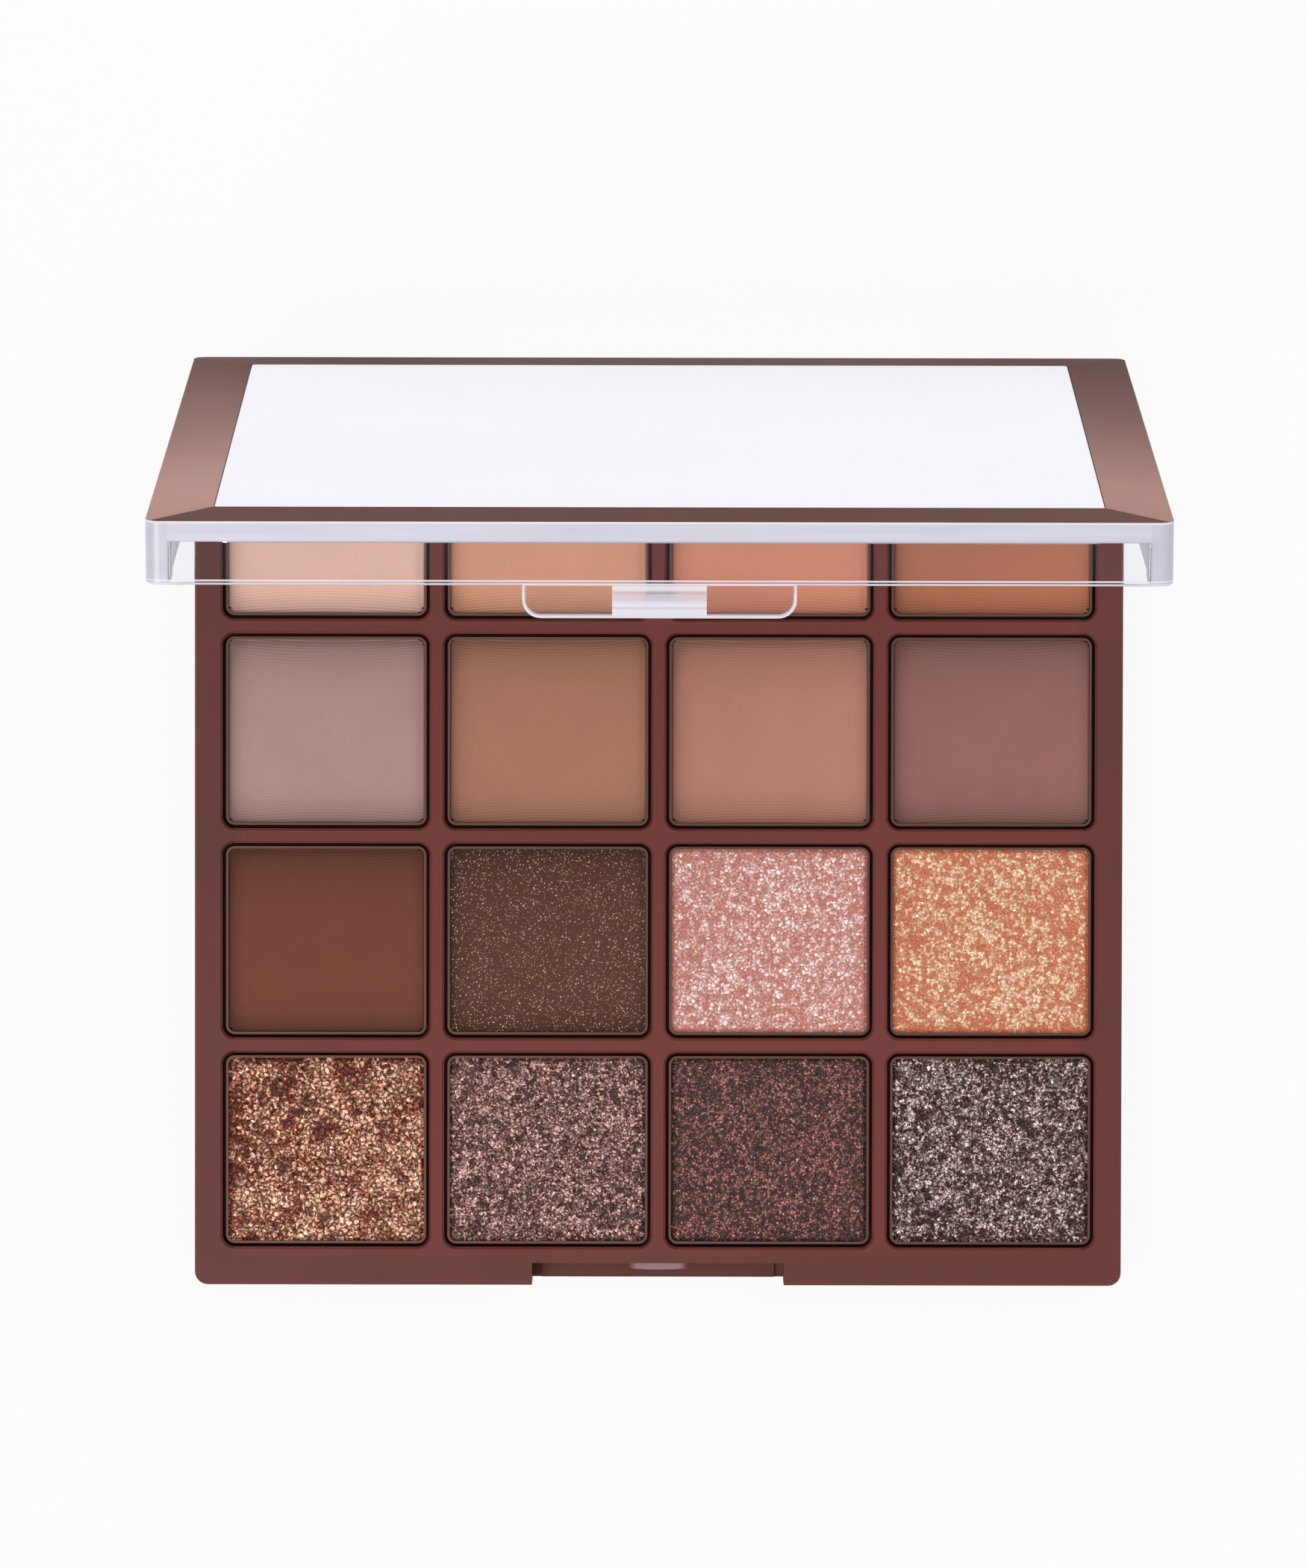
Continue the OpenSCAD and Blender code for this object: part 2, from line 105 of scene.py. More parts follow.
class Shader:
    """One material, with short ways to add and join its nodes."""

    def __init__(self, name):
        self.material = bpy.data.materials.new(name)
        self.material.use_nodes = True
        self.tree = self.material.node_tree
        self.bsdf = self.tree.nodes["Principled BSDF"]
        self.output = self.tree.nodes["Material Output"]
        self.coords = self.add("ShaderNodeTexCoord").outputs["Object"]

    def add(self, kind, **settings):
        node = self.tree.nodes.new(kind)
        for name, value in settings.items():
            setattr(node, name, value)
        return node

    def feed(self, socket, value):
        """Joins an output to an input, or sets the input."""
        if isinstance(value, bpy.types.NodeSocket):
            self.tree.links.new(value, socket)
        else:
            socket.default_value = value

    def put(self, node, **values):
        """Feeds a node's inputs, with _ for a space in a name."""
        for name, value in values.items():
            self.feed(node.inputs[name.replace("_", " ")], value)
        return node

    # Places

    def stretched(self, x, y, z):
        node = self.add("ShaderNodeMapping")
        return self.put(node, Vector=self.coords, Scale=(x, y, z)).outputs["Vector"]

    def millimetres(self, place=None):
        """X, Y and Z of a place, or of the point that is shaded."""
        parts = self.add("ShaderNodeSeparateXYZ")
        self.feed(parts.inputs[0], place or self.coords)
        return [self.maths("MULTIPLY", axis, 1 / MM) for axis in parts.outputs]

    def closed_lid(self):
        """X, Y and Z in millimetres, as if the lid were closed."""
        turn = self.add("ShaderNodeMapping")
        self.put(turn, Vector=self.coords, Rotation=TO_CLOSED.to_euler(), Location=TO_CLOSED.translation)
        return self.millimetres(turn.outputs["Vector"])

    # Patterns

    def noise(self, per_mm, detail=2.0, rough=0.5, vector=None):
        node = self.add("ShaderNodeTexNoise")
        self.put(node, Vector=vector or self.coords, Scale=per_mm / MM, Detail=detail, Roughness=rough)
        return node.outputs["Fac"]

    def cells(self, per_mm):
        node = self.add("ShaderNodeTexVoronoi")
        return self.put(node, Vector=self.coords, Scale=per_mm / MM).outputs["Distance"]

    def waves(self, per_mm, direction, distortion):
        node = self.add("ShaderNodeTexWave", wave_type="BANDS", bands_direction=direction)
        # At a scale of 1 the node draws 10 / pi waves a metre
        self.put(node, Vector=self.coords, Scale=per_mm / MM * math.pi / 10, Distortion=distortion)
        return node.outputs["Fac"]

    def grain(self):
        """The two channels that every cake's mesh carries, red and green."""
        node = self.add("ShaderNodeAttribute", attribute_name="grain")
        parts = self.put(self.add("ShaderNodeSeparateColor"), Color=node.outputs["Color"])
        return parts.outputs["Red"], parts.outputs["Green"]

    # Numbers

    def maths(self, operation, *values):
        node = self.add("ShaderNodeMath", operation=operation)
        for socket, value in zip(node.inputs, values):
            self.feed(socket, value)
        return node.outputs["Value"]

    def product(self, total, *others):
        for other in others:
            total = self.maths("MULTIPLY", total, other)
        return total

    def highest(self, total, *others):
        for other in others:
            total = self.maths("MAXIMUM", total, other)
        return total

    def span(self, value, low, high, to_low=0.0, to_high=1.0):
        """Takes low to high onto to_low to to_high, and holds what lies beyond at the ends."""
        node = self.add("ShaderNodeMapRange")
        names = ("Value", "From_Min", "From_Max", "To_Min", "To_Max")
        return self.put(node, **dict(zip(names, (value, low, high, to_low, to_high)))).outputs["Result"]

    def spread(self, noise, to_low=0.0, to_high=1.0):
        """Spreads noise, which keeps mostly to the middle of its range."""
        return self.span(noise, 0.3, 0.7, to_low, to_high)

    def near(self, value, centre, half):
        """1 within half of centre, and 0 elsewhere."""
        return self.maths("COMPARE", value, centre, half)

    def within(self, value, half, fade):
        """1 on either side of zero as far as half, then 0, with a soft step that is twice fade wide."""
        return self.span(self.maths("ABSOLUTE", value), half + fade, half - fade)

    # Colours and surfaces

    def ramp(self, fac, *stops):
        node = self.add("ShaderNodeValToRGB")
        elements = node.color_ramp.elements
        while len(elements) < len(stops):
            elements.new(0.5)
        for element, (at, colour) in zip(elements, stops):
            element.position = at
            element.color = colour
        return self.put(node, Fac=fac).outputs["Color"]

    def greys(self, fac, stops):
        """A ramp through greys, from pairs of place and level."""
        return self.ramp(fac, *((at, (level, level, level, 1)) for at, level in stops))

    def mix(self, fac, a, b):
        """Mixes two colours."""
        node = self.add("ShaderNodeMix", data_type="RGBA")
        # The node has a set of sockets for each kind of data, and these are the colours'
        for index, value in ((0, fac), (6, a), (7, b)):
            self.feed(node.inputs[index], value)
        return node.outputs[2]

    def blend(self, fac, a, b):
        """Mixes two shaders."""
        node = self.add("ShaderNodeMixShader")
        for socket, value in zip(node.inputs, (fac, a, b)):
            self.feed(socket, value)
        return node.outputs[0]

    def bump(self, height, distance_mm, strength=1.0, normal=None):
        node = self.add("ShaderNodeBump")
        self.put(node, Height=height, Distance=distance_mm * MM, Strength=strength)
        if normal:
            self.put(node, Normal=normal)
        return node.outputs["Normal"]


def paint(name, material):
    """Gives a CAD node a material, and leaves its mesh as it is."""
    for place in NODES[name].material_slots:
        place.link = "OBJECT"
        place.material = material


# ---------------------------------------------------------------- brown base

# In millimetres: the field of ribs between the pans, and the catch in the latch notch, whose top has a
# painted highlight
RIBS_HALF_W, RIBS_HALF_D, RIBS_FADE = 45.4, 45.2, 0.8
CATCH_HALF_W, CATCH_FADE = 2.7, 0.4
CATCH_Y, CATCH_HALF_D = -46.85, 0.42
CATCH_Z, CATCH_HALF_H = 5.7, 0.75
BROWN = (100, 48, 42)


def brown_plastic():
    s = Shader("base_brown")
    grain = s.noise(9.0, rough=0.6)
    x, y, z = s.millimetres()
    tone = s.mix(s.spread(s.noise(0.09, detail=3.0)), tinted(BROWN, 0.96), tinted(BROWN, 1.04))
    # The ribs between the pockets are a little redder
    ribs = s.product(s.within(x, RIBS_HALF_W, RIBS_FADE), s.within(y, RIBS_HALF_D, RIBS_FADE))
    tone = s.mix(ribs, tone, rgb(BROWN[0] * 1.1, BROWN[1] * 1.03, BROWN[2]))
    # A painted highlight: the top of the catch in the notch is painted pale, where light glances off it
    across = s.within(x, CATCH_HALF_W, CATCH_FADE)
    catch_highlight = s.product(across, s.near(y, CATCH_Y, CATCH_HALF_D), s.near(z, CATCH_Z, CATCH_HALF_H), 0.75)
    s.put(
        s.bsdf,
        Base_Color=s.mix(catch_highlight, tone, rgb(168, 136, 140)),
        Roughness=s.spread(grain, 0.38, 0.46),
        Normal=s.bump(grain, 0.003, strength=0.35),
        IOR=1.5,
        Specular_IOR_Level=0.3,
    )
    return s.material


# ---------------------------------------------------------------- lid

# In millimetres: the clear shell's height, plate and walls, its corners, and the tab below its rim
LID_H, PLATE_T, WALL_T = 6.1, 1.8, 2.2
CORNER_R, RIM_CHAMFER = 1.4, 0.2
TAB_HALF_W, TAB_R, HOOK_HALF_W = 13.35, 1.8, 4.6
# How thick the pale skin painted on its outer faces is, standing in for light that the clear plastic gathers
# at its edges, and half the thickness of that on its inner faces
SKIN, INNER_SKIN = 0.04, 0.06
# How far behind the lid's front the painted pale haze on the side walls' inner faces starts and stops
# thinning
PAINTED_HAZE_FADE = (46, 70)
# Painted highlight lines along the rim: how far above it, and half their width
RIM_HIGHLIGHTS = [(0.13, 0.11), (0.46, 0.09)]
# The tab's painted highlight along its outline fades in between these distances from its edge
TAB_OUTLINE = (0.36, 0.16)
# Bands of painted light and shade where the hook shows through the tab: shares of the tab's height, and how
# pale it is painted there
HOOK_BANDS = [
    (0.0, 0.8), (0.24, 0.9), (0.30, 0.35), (0.36, 0.85), (0.46, 0.8), (0.52, 0.5), (0.8, 0.45), (0.88, 0.9),
]
# How far the line of painted shade at the window's edge reaches
WINDOW_SHADE_LINE = 0.16
# The pale cut edge of the border's film, and the stretches over which a painted gleam grows to its front
# right
FILM_EDGE = 0.03
GLEAM_X, GLEAM_Y = (20, 49), (10, -46)


def inside_outline(s, side, along, half_w, end, radius):
    """Millimetres inside an outline that is half_w wide each way, and ends with two round corners."""
    across = s.maths("SUBTRACT", side, half_w - radius)
    down = s.maths("SUBTRACT", end + radius, along)
    squares = [s.maths("POWER", s.maths("MAXIMUM", part, 0.0), 2.0) for part in (across, down)]
    corner = s.maths("SQRT", s.maths("ADD", *squares))
    straight = s.maths("MINIMUM", s.highest(across, down), 0.0)
    return s.maths("SUBTRACT", radius, s.maths("ADD", corner, straight))


def border_foil():
    """Glossy brown foil, which mirrors the floor behind the lid and has a painted gleam towards its front
    right, on a clear film whose cut edge is pale.
    """
    s = Shader("border_brown")
    low, high = closed_box("lid_frame")
    x, y, _ = s.closed_lid()
    inset = inside_outline(s, s.maths("ABSOLUTE", x), y, high[0], low[1], CORNER_R)
    cut = s.maths("LESS_THAN", inset, FILM_EDGE)
    cloudy = s.noise(0.06)
    tone = s.mix(s.spread(cloudy), rgb(144, 108, 103), rgb(149, 113, 108))
    # Painted highlight: the foil is painted lighter towards its front right corner
    painted_gleam = s.product(s.span(x, *GLEAM_X), s.span(y, *GLEAM_Y))
    tone = s.mix(painted_gleam, tone, rgb(172, 130, 121))
    s.put(
        s.bsdf,
        Base_Color=s.mix(cut, tone, rgb(226, 220, 226)),
        Metallic=s.span(cut, 0.0, 1.0, 0.85, 0.0),
        Roughness=s.maths("ADD", s.spread(cloudy, 0.09, 0.12), s.product(cut, 0.5)),
        Normal=s.bump(s.noise(1.5), 0.0005, strength=0.1),
        Specular_Tint=rgb(255, 215, 206),
    )
    return s.material


def tab_painted_light(s, side, z, end_z, rim_z):
    """How pale the latch tab is painted: a painted highlight along its outline, and painted bands of light
    and shade where the hook shows in its middle.
    """
    inset = inside_outline(s, side, z, TAB_HALF_W, end_z, TAB_R)
    outline = s.product(s.span(inset, *TAB_OUTLINE), 0.8)
    hook = s.maths("LESS_THAN", side, HOOK_HALF_W)
    return s.highest(outline, s.product(hook, s.greys(s.span(z, end_z, rim_z), HOOK_BANDS)))


def edge_tone(s, side, z, wall_x, plate_z):
    """The pale tone painted on plate and walls seen edge-on, standing in for light gathered in the clear
    plastic, with thin lines of painted shade where the window begins.
    """
    streak = s.noise(0.8, vector=s.stretched(0.06, 1, 1))
    tone = s.mix(s.spread(streak), rgb(197, 196, 208), rgb(206, 206, 217))
    away = s.maths("ABSOLUTE", s.highest(s.maths("SUBTRACT", z, plate_z), s.maths("SUBTRACT", side, wall_x)))
    # Painted shade: a thin darker line where the window begins
    return s.mix(s.span(away, 0.0, WINDOW_SHADE_LINE, 0.55, 0.0), tone, rgb(150, 143, 156))


def clear_plastic():
    """Clear where one looks through a wall. Where one looks along the plate or a wall it is painted pale,
    standing in for the light that the clear plastic gathers there.
    """
    s = Shader("clear_plastic")
    low, high = closed_box("lid_shell")
    rim_z = closed_box("lid_panel")[0][2] - LID_H
    plate_z, wall_x = high[2] - PLATE_T, high[0] - WALL_T
    x, y, z = s.closed_lid()
    side = s.maths("ABSOLUTE", x)

    # The outer skin, which draws in at the rim's chamfer and is the same at the rear as at the front
    inset = inside_outline(s, side, s.product(s.maths("ABSOLUTE", y), -1.0), high[0], low[1], CORNER_R)
    chamfer = s.maths("MAXIMUM", s.maths("SUBTRACT", rim_z + RIM_CHAMFER, z), 0.0)
    outer = s.maths("LESS_THAN", inset, s.maths("ADD", chamfer, SKIN))
    in_plate = s.maths("GREATER_THAN", z, plate_z)
    in_wall = s.maths("GREATER_THAN", side, wall_x)
    in_front = s.maths("LESS_THAN", y, low[1] + WALL_T)
    above_rim = s.maths("GREATER_THAN", z, rim_z - 0.01)
    on_front = s.product(outer, in_front)
    in_tab = s.product(on_front, s.maths("LESS_THAN", z, rim_z))

    # Painted light: the plate's and walls' outer faces seen edge-on, a painted pale haze on the side walls'
    # inner faces, painted highlight lines on the rim, and the tab's painted light and shade
    edges = s.product(outer, above_rim, s.highest(in_plate, s.product(in_wall, in_front)))
    thinning = s.span(y, low[1] + PAINTED_HAZE_FADE[0], low[1] + PAINTED_HAZE_FADE[1], 1.0, 0.25)
    haze = s.product(s.near(side, wall_x, INNER_SKIN), thinning)
    # Painted highlights: bright lines along the rim
    lines = s.highest(*(s.near(z, rim_z + above, half) for above, half in RIM_HIGHLIGHTS))
    lines = s.product(on_front, lines, 0.85)
    painted_light = s.highest(edges, haze, lines, s.product(in_tab, tab_painted_light(s, side, z, low[2], rim_z)))

    ripple = s.noise(0.25, detail=1.0)
    s.put(
        s.bsdf,
        Base_Color=rgb(247, 247, 252),
        Roughness=s.spread(ripple, 0.01, 0.03),
        Normal=s.bump(ripple, 0.01, strength=0.15),
        IOR=1.49,
        Transmission_Weight=1.0,
        Specular_Tint=rgb(160, 160, 164),
    )
    tone = edge_tone(s, side, z, wall_x, plate_z)
    # Painted shade: the walls seen edge-on are painted darker than the plate
    tone = s.mix(s.product(in_wall, 0.4), tone, rgb(184, 183, 197))
    # The painted haze on the inner faces is pale
    tone = s.mix(outer, rgb(238, 238, 245), tone)
    # The tab's painted light and the rim's painted highlight lines are pale
    tone = s.mix(s.highest(in_tab, lines), tone, rgb(226, 222, 229))
    # The painted pale surface, which the lamps still shade
    cloudy = s.put(s.add("ShaderNodeBsdfPrincipled"), Base_Color=tone, Roughness=0.3, Coat_Weight=0.1)
    # The painted pale haze inside also passes on the light that comes through the wall
    passed = s.put(s.add("ShaderNodeBsdfTranslucent"), Color=rgb(240, 240, 246))
    inner = s.product(s.maths("SUBTRACT", 1.0, outer), 0.8)
    cloudy = s.blend(inner, cloudy.outputs[0], passed.outputs[0])
    surface = s.blend(painted_light, s.bsdf.outputs[0], cloudy)
    # Lamps shine through without caustics
    see = s.put(s.add("ShaderNodeBsdfTransparent"), Color=rgb(240, 240, 247))
    for_lamps = s.add("ShaderNodeLightPath").outputs["Is Shadow Ray"]
    s.put(s.output, Surface=s.blend(for_lamps, surface, see.outputs[0]))
    return s.material


def white_panel():
    s = Shader("panel_white")
    fine = s.noise(3.0)
    s.put(
        s.bsdf,
        Base_Color=s.mix(s.noise(0.05), rgb(234, 234, 238), rgb(238, 238, 241)),
        Roughness=s.spread(fine, 0.4, 0.5),
        Normal=s.bump(fine, 0.002, strength=0.2),
        Specular_IOR_Level=0.03,
    )
    return s.material


def mirror_glass():
    s = Shader("mirror_glass")
    haze = s.noise(0.12, detail=3.0)
    s.put(
        s.bsdf,
        Base_Color=rgb(232, 236, 238),
        Roughness=s.span(haze, 0.4, 0.75, 0.01, 0.035),
        Metallic=1.0,
        Coat_Weight=1.0,
        Coat_Roughness=0.01,
    )
    return s.material


# ---------------------------------------------------------------- metal, tape and glue

def metal(name, colour, roughness, along):
    """Bright metal with fine lines along X, Y or Z."""
    s = Shader(name)
    stretch = (0.05 if axis == along else 1 for axis in "XYZ")
    lines = s.noise(14.0, rough=0.6, vector=s.stretched(*stretch))
    s.put(
        s.bsdf,
        Base_Color=s.mix(s.spread(lines), tinted(colour, 0.94), rgb(*colour)),
        Roughness=s.spread(lines, roughness - 0.05, roughness + 0.07),
        Normal=s.bump(lines, 0.002, strength=0.3),
        Metallic=1.0,
    )
    return s.material


def plain_soft(name, colour):
    s = Shader(name)
    pores = s.cells(2.5)
    s.put(
        s.bsdf,
        Base_Color=s.mix(s.span(pores, 0.0, 0.6), tinted(colour, 0.9), rgb(*colour)),
        Roughness=0.7,
        Normal=s.bump(pores, 0.01, strength=0.3),
    )
    return s.material


# ---------------------------------------------------------------- powder materials

THREADS_PER_MM = 3.3


def matte_powder(name, colour, sparkle=None):
    """Pressed powder with the imprint of a woven cloth. Its mesh says where loose glints lie, which have
    the colour sparkle, and where shade is painted in, darker along the edges and between the ridges."""
    s = Shader(name)
    glint, painted_shade = s.grain()
    dust = s.noise(7.0, detail=3.0, rough=0.65)
    tone = s.mix(s.spread(s.noise(0.18, detail=3.0)), tinted(colour, 0.985), tinted(colour, 1.01))
    dusted = rgb(*(min(255, channel * 1.22) for channel in colour))
    tone = s.mix(s.span(dust, 0.35, 0.75, 0.0, 0.16), tone, dusted)
    # Painted shade: darker along the edges and between the ridges
    tone = s.mix(painted_shade, tone, tinted(colour, 0.72))
    # The weave is worn away in patches
    worn = s.span(s.noise(0.12), 0.4, 0.6, 0.15, 1.0)
    weave = s.product(*(s.waves(THREADS_PER_MM, axis, distortion=0.6) for axis in "XY"), worn)
    tone = s.mix(s.product(weave, 0.15), tone, tinted(colour, 0.8))
    s.put(s.bsdf, Roughness=0.9, Sheen_Weight=0.12, Sheen_Roughness=0.5, Specular_IOR_Level=0.2)
    normal = s.bump(weave, 0.02, strength=0.6)
    s.put(s.bsdf, Normal=s.bump(dust, 0.008, strength=0.5, normal=normal))
    if sparkle:
        glint = s.span(glint, 0.1, 1.0)
        tone = s.mix(glint, tone, rgb(*sparkle))
        s.put(s.bsdf, Metallic=s.product(glint, 0.6), Roughness=s.span(glint, 0.0, 1.0, 0.9, 0.35))
    s.put(s.bsdf, Base_Color=tone)
    return s.material


def glitter_powder(name, crevice_shade_colour, dark, mid, bright):
    """Pressed metallic crumbs. Its mesh says how light each spot is, and how much painted shade darkens its
    crevices.
    """
    s = Shader(name)
    light, crevice_shade = s.grain()
    fine = s.noise(7.0, detail=3.0, rough=0.7)
    level = s.maths("ADD", light, s.spread(fine, -0.06, 0.06))
    colour = s.ramp(level, (0.16, rgb(*dark)), (0.46, rgb(*mid)), (0.76, rgb(*bright)))
    s.put(
        s.bsdf,
        # Painted shade in the crevices between crumbs
        Base_Color=s.mix(crevice_shade, colour, rgb(*crevice_shade_colour)),
        Metallic=s.span(level, 0.3, 0.9, 0.0, 0.6),
        Roughness=s.span(level, 0.2, 0.8, 0.5, 0.3),
        Normal=s.bump(fine, 0.012, strength=0.5),
    )
    return s.material


# ---------------------------------------------------------------- noise and cells for the powders

# How much finer and fainter each layer of noise is than the last, and how far it is turned, in radians
FINER, FAINTER = 1.9, 0.62
FIRST_TURN, NEXT_TURN = 0.6, 1.3


def smooth_steps(value):
    value = np.clip(value, 0.0, 1.0)
    return value * value * (3 - 2 * value)


def soft_noise(x, y, size, rng):
    """Smooth noise from 0 to 1 with features of that size."""
    u, v = (x - x.min()) / size, (y - y.min()) / size
    lattice = rng.random((int(u.max()) + 3, int(v.max()) + 3))
    i, j = u.astype(int), v.astype(int)
    a, b = smooth_steps(u - i), smooth_steps(v - j)
    low = lattice[i, j] * (1 - a) + lattice[i + 1, j] * a
    high = lattice[i, j + 1] * (1 - a) + lattice[i + 1, j + 1] * a
    return low * (1 - b) + high * b


def layered(x, y, size, rng, octaves=3, folds=False):
    """Noise in finer and finer layers, each turned. With folds it has thin valleys between rounded heaps."""
    total, weight = 0.0, 0.0
    for layer in range(octaves):
        turn = FIRST_TURN + NEXT_TURN * layer
        u, v = x * math.cos(turn) - y * math.sin(turn), x * math.sin(turn) + y * math.cos(turn)
        noise = soft_noise(u, v, size / FINER ** layer, rng)
        total = total + FAINTER ** layer * (np.abs(2 * noise - 1) if folds else noise)
        weight += FAINTER ** layer
    return total / weight


def scattered_cells(x, y, size, rng):
    """For each point: distances to the nearest two of a field of scattered seeds, the offset from the
    nearest, and that seed's four random numbers."""
    u, v = (x - x.min()) / size + 2, (y - y.min()) / size + 2
    shape = (int(u.max()) + 4, int(v.max()) + 4)
    seeds = rng.random(shape + (2,))
    chances = rng.random(shape + (4,))
    i, j = u.astype(int), v.astype(int)
    first, second = np.full(u.shape, np.inf), np.full(u.shape, np.inf)
    offset, picked = np.zeros(u.shape + (2,)), np.zeros(u.shape + (4,))
    for di in (-1, 0, 1):
        for dj in (-1, 0, 1):
            seed = seeds[i + di, j + dj] + np.stack([i + di, j + dj], -1)
            away = np.stack([u, v], -1) - seed
            far = np.hypot(away[..., 0], away[..., 1])
            nearer = far < first
            second = np.where(nearer, first, np.minimum(second, far))
            first = np.where(nearer, far, first)
            offset[nearer] = away[nearer]
            picked[nearer] = chances[i + di, j + dj][nearer]
    return first, second, offset, picked


def corner_offset(x, y, half_w, half_d, radius):
    """How far each point lies past the centre of its corner's arc, both ways."""
    return np.abs(x) - (half_w - radius), np.abs(y) - (half_d - radius)


def rounded_inset(x, y, half_w, half_d, radius):
    """How far inside a rounded rectangle each point lies."""
    qx, qy = corner_offset(x, y, half_w, half_d, radius)
    outside = np.hypot(np.maximum(qx, 0), np.maximum(qy, 0)) + np.minimum(np.maximum(qx, qy), 0)
    return radius - outside


# ---------------------------------------------------------------- powder relief, in millimetres

# How much painted shade darkens a matte cake along each edge, how far in that reaches, and how abruptly it
# ends
EDGE_SHADE = {
    "rear": (0.65, 3.0, 1.0),
    "front": (0.55, 1.7, 1.5),
    "left": (0.8, 0.95, 1.2),
    "right": (0.15, 1.0, 1.0),
}
# How strongly the cloth's ridges bend outwards by the sides, and how far in from ends and sides they reach
RIDGE_BEND, ENDS_REACH, SIDES_REACH = 0.006, 2.6, 2.0
# Shares of a ridge's height that are left in the middle of a cake, and that ridges along its sides have
MIDDLE_SHARE, SIDES_SHARE = 0.12, 0.25
# Sizes of the noises that make ridges wander and thicken, and the cake swell, and heights of swell and dust
WANDER_SIZE, THICKEN_SIZE, SWELL_SIZE = 5.0, 2.5, 6.0
SWELL_H, DUST_H, SPECK_H = 0.008, 0.004, 0.015
# Noises that warp a crumb, widen its crevices and fold it, as shares of its size, and the finest specks
WARP_SIZE, WIDEN_SIZE, FOLD_SIZE = 0.7, 2.2, 0.55
FINE_SIZE = 0.2
# What shares of a crumb's depth its slope, step, round top, crevice and folds take
SLOPE, STEP, DOME, CREVICE, FOLDS = 1.2, 0.5, 0.6, 0.8, 0.8
# How wide a metallic cake is, over which its light leans, and how wide the darker ring along its edge is
LEAN_OVER, RING_W = 20, 0.5


def worn_edge(inset, recipe):
    """How much lower a cake is towards its edge."""
    return recipe["edge_depth"] * (1 - smooth_steps(inset / recipe["edge_width"])) ** 2


def press_cloth(x, y, inset, rng, recipe):
    """Relief of a matte cake: soft edges, and the ridges that the pressing cloth leaves. Its second
    channel is painted shade, along the edges and between the ridges."""
    height, pitch = recipe["ridge"], recipe["pitch"]
    half_w, half_d = np.abs(x).max(), np.abs(y).max()
    bend = -RIDGE_BEND * x * x * np.sign(y)
    wander = 0.5 * soft_noise(x, y, WANDER_SIZE, rng)
    ridge = np.sin(2 * math.pi * ((y + bend) / pitch + wander))
    near_ends = np.exp(-((half_d - np.abs(y)) / ENDS_REACH) ** 1.4)
    near_sides = np.exp(-(inset / SIDES_REACH) ** 1.5)
    relief = height * (MIDDLE_SHARE + near_ends) * ridge * (0.6 + 0.4 * soft_noise(x, y, THICKEN_SIZE, rng))
    relief += SIDES_SHARE * height * near_sides * np.sin(2 * math.pi * x / pitch)
    relief += SWELL_H * (soft_noise(x, y, SWELL_SIZE, rng) - 0.5) + DUST_H * (rng.random(x.shape) - 0.5)
    relief -= worn_edge(inset, recipe)
    # Painted shade between the ridges and along the edges, most on the left, least on the right
    to_edge = {"rear": half_d - y, "front": half_d + y, "left": half_w + x, "right": half_w - x}
    painted_shade = 0.45 * near_ends * (0.5 - 0.5 * ridge)
    for edge, (share, reach, power) in EDGE_SHADE.items():
        painted_shade += share * np.exp(-(to_edge[edge] / reach) ** power)
    grain = np.zeros(x.shape + (3,))
    grain[..., 1] = np.minimum(painted_shade, 1.0)
    # The relief fades out at the very edge
    return relief * smooth_steps(inset / 0.25 + 0.3), grain


def strew_sparkles(x, y, inset, rng, recipe):
    """A matte cake with single bright specks in it, whose brightness is its first channel."""
    relief, grain = press_cloth(x, y, inset, rng, recipe)
    first, _, _, chance = scattered_cells(x, y, recipe["speck_pitch"], rng)
    in_reach = first < recipe["speck_size"] * (0.6 + 0.6 * chance[..., 1])
    speck = in_reach & (chance[..., 0] < recipe["speck_share"])
    grain[..., 0] = np.where(speck, 0.12 + 0.88 * chance[..., 2] ** 2, 0.0)
    return relief + SPECK_H * speck, grain


